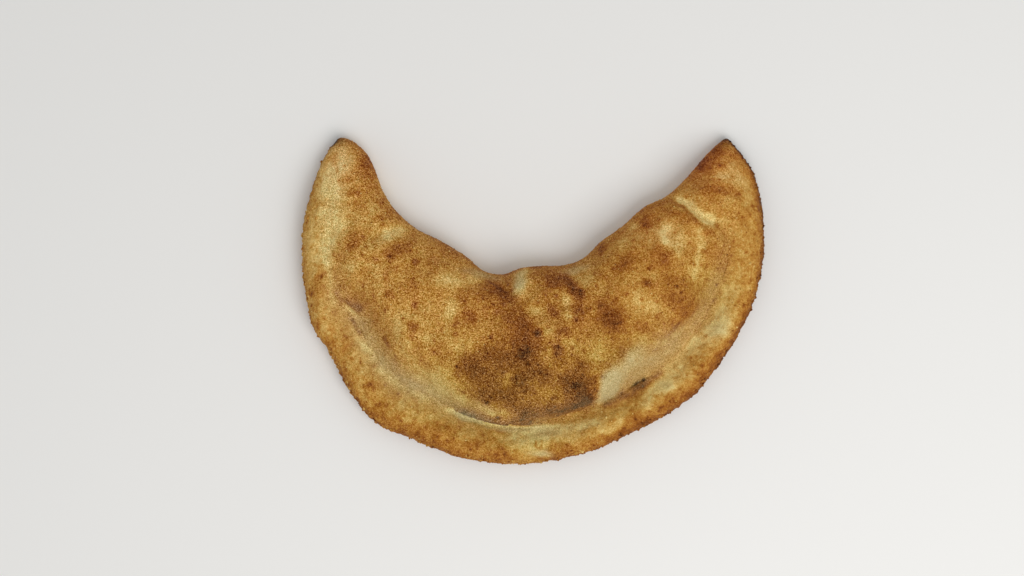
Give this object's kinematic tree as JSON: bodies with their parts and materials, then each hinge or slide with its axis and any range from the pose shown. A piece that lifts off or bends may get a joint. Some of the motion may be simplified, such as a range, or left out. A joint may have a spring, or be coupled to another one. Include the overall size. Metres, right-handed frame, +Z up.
{
  "type": "calzone",
  "caption": "Crescent of baked pizza dough folded over its filling, with a blistered domed body, two pointed horns and a rolled rim along the outer arc.",
  "frame": {"origin": "centre of the bounding box's bottom face, on the surface that the calzone lies on", "axes": "+X along the length from the left horn to the right one, +Y from the rim towards the horns' tips, +Z up"},
  "size_m": [0.2194, 0.1554, 0.0372],
  "materials": {
    "crust": "matt golden baked dough, scorched dark on the blisters and pale in the folds"
  },
  "bodies": {
    "root": {"calzone": "crust"}
  },
  "joints": []
}
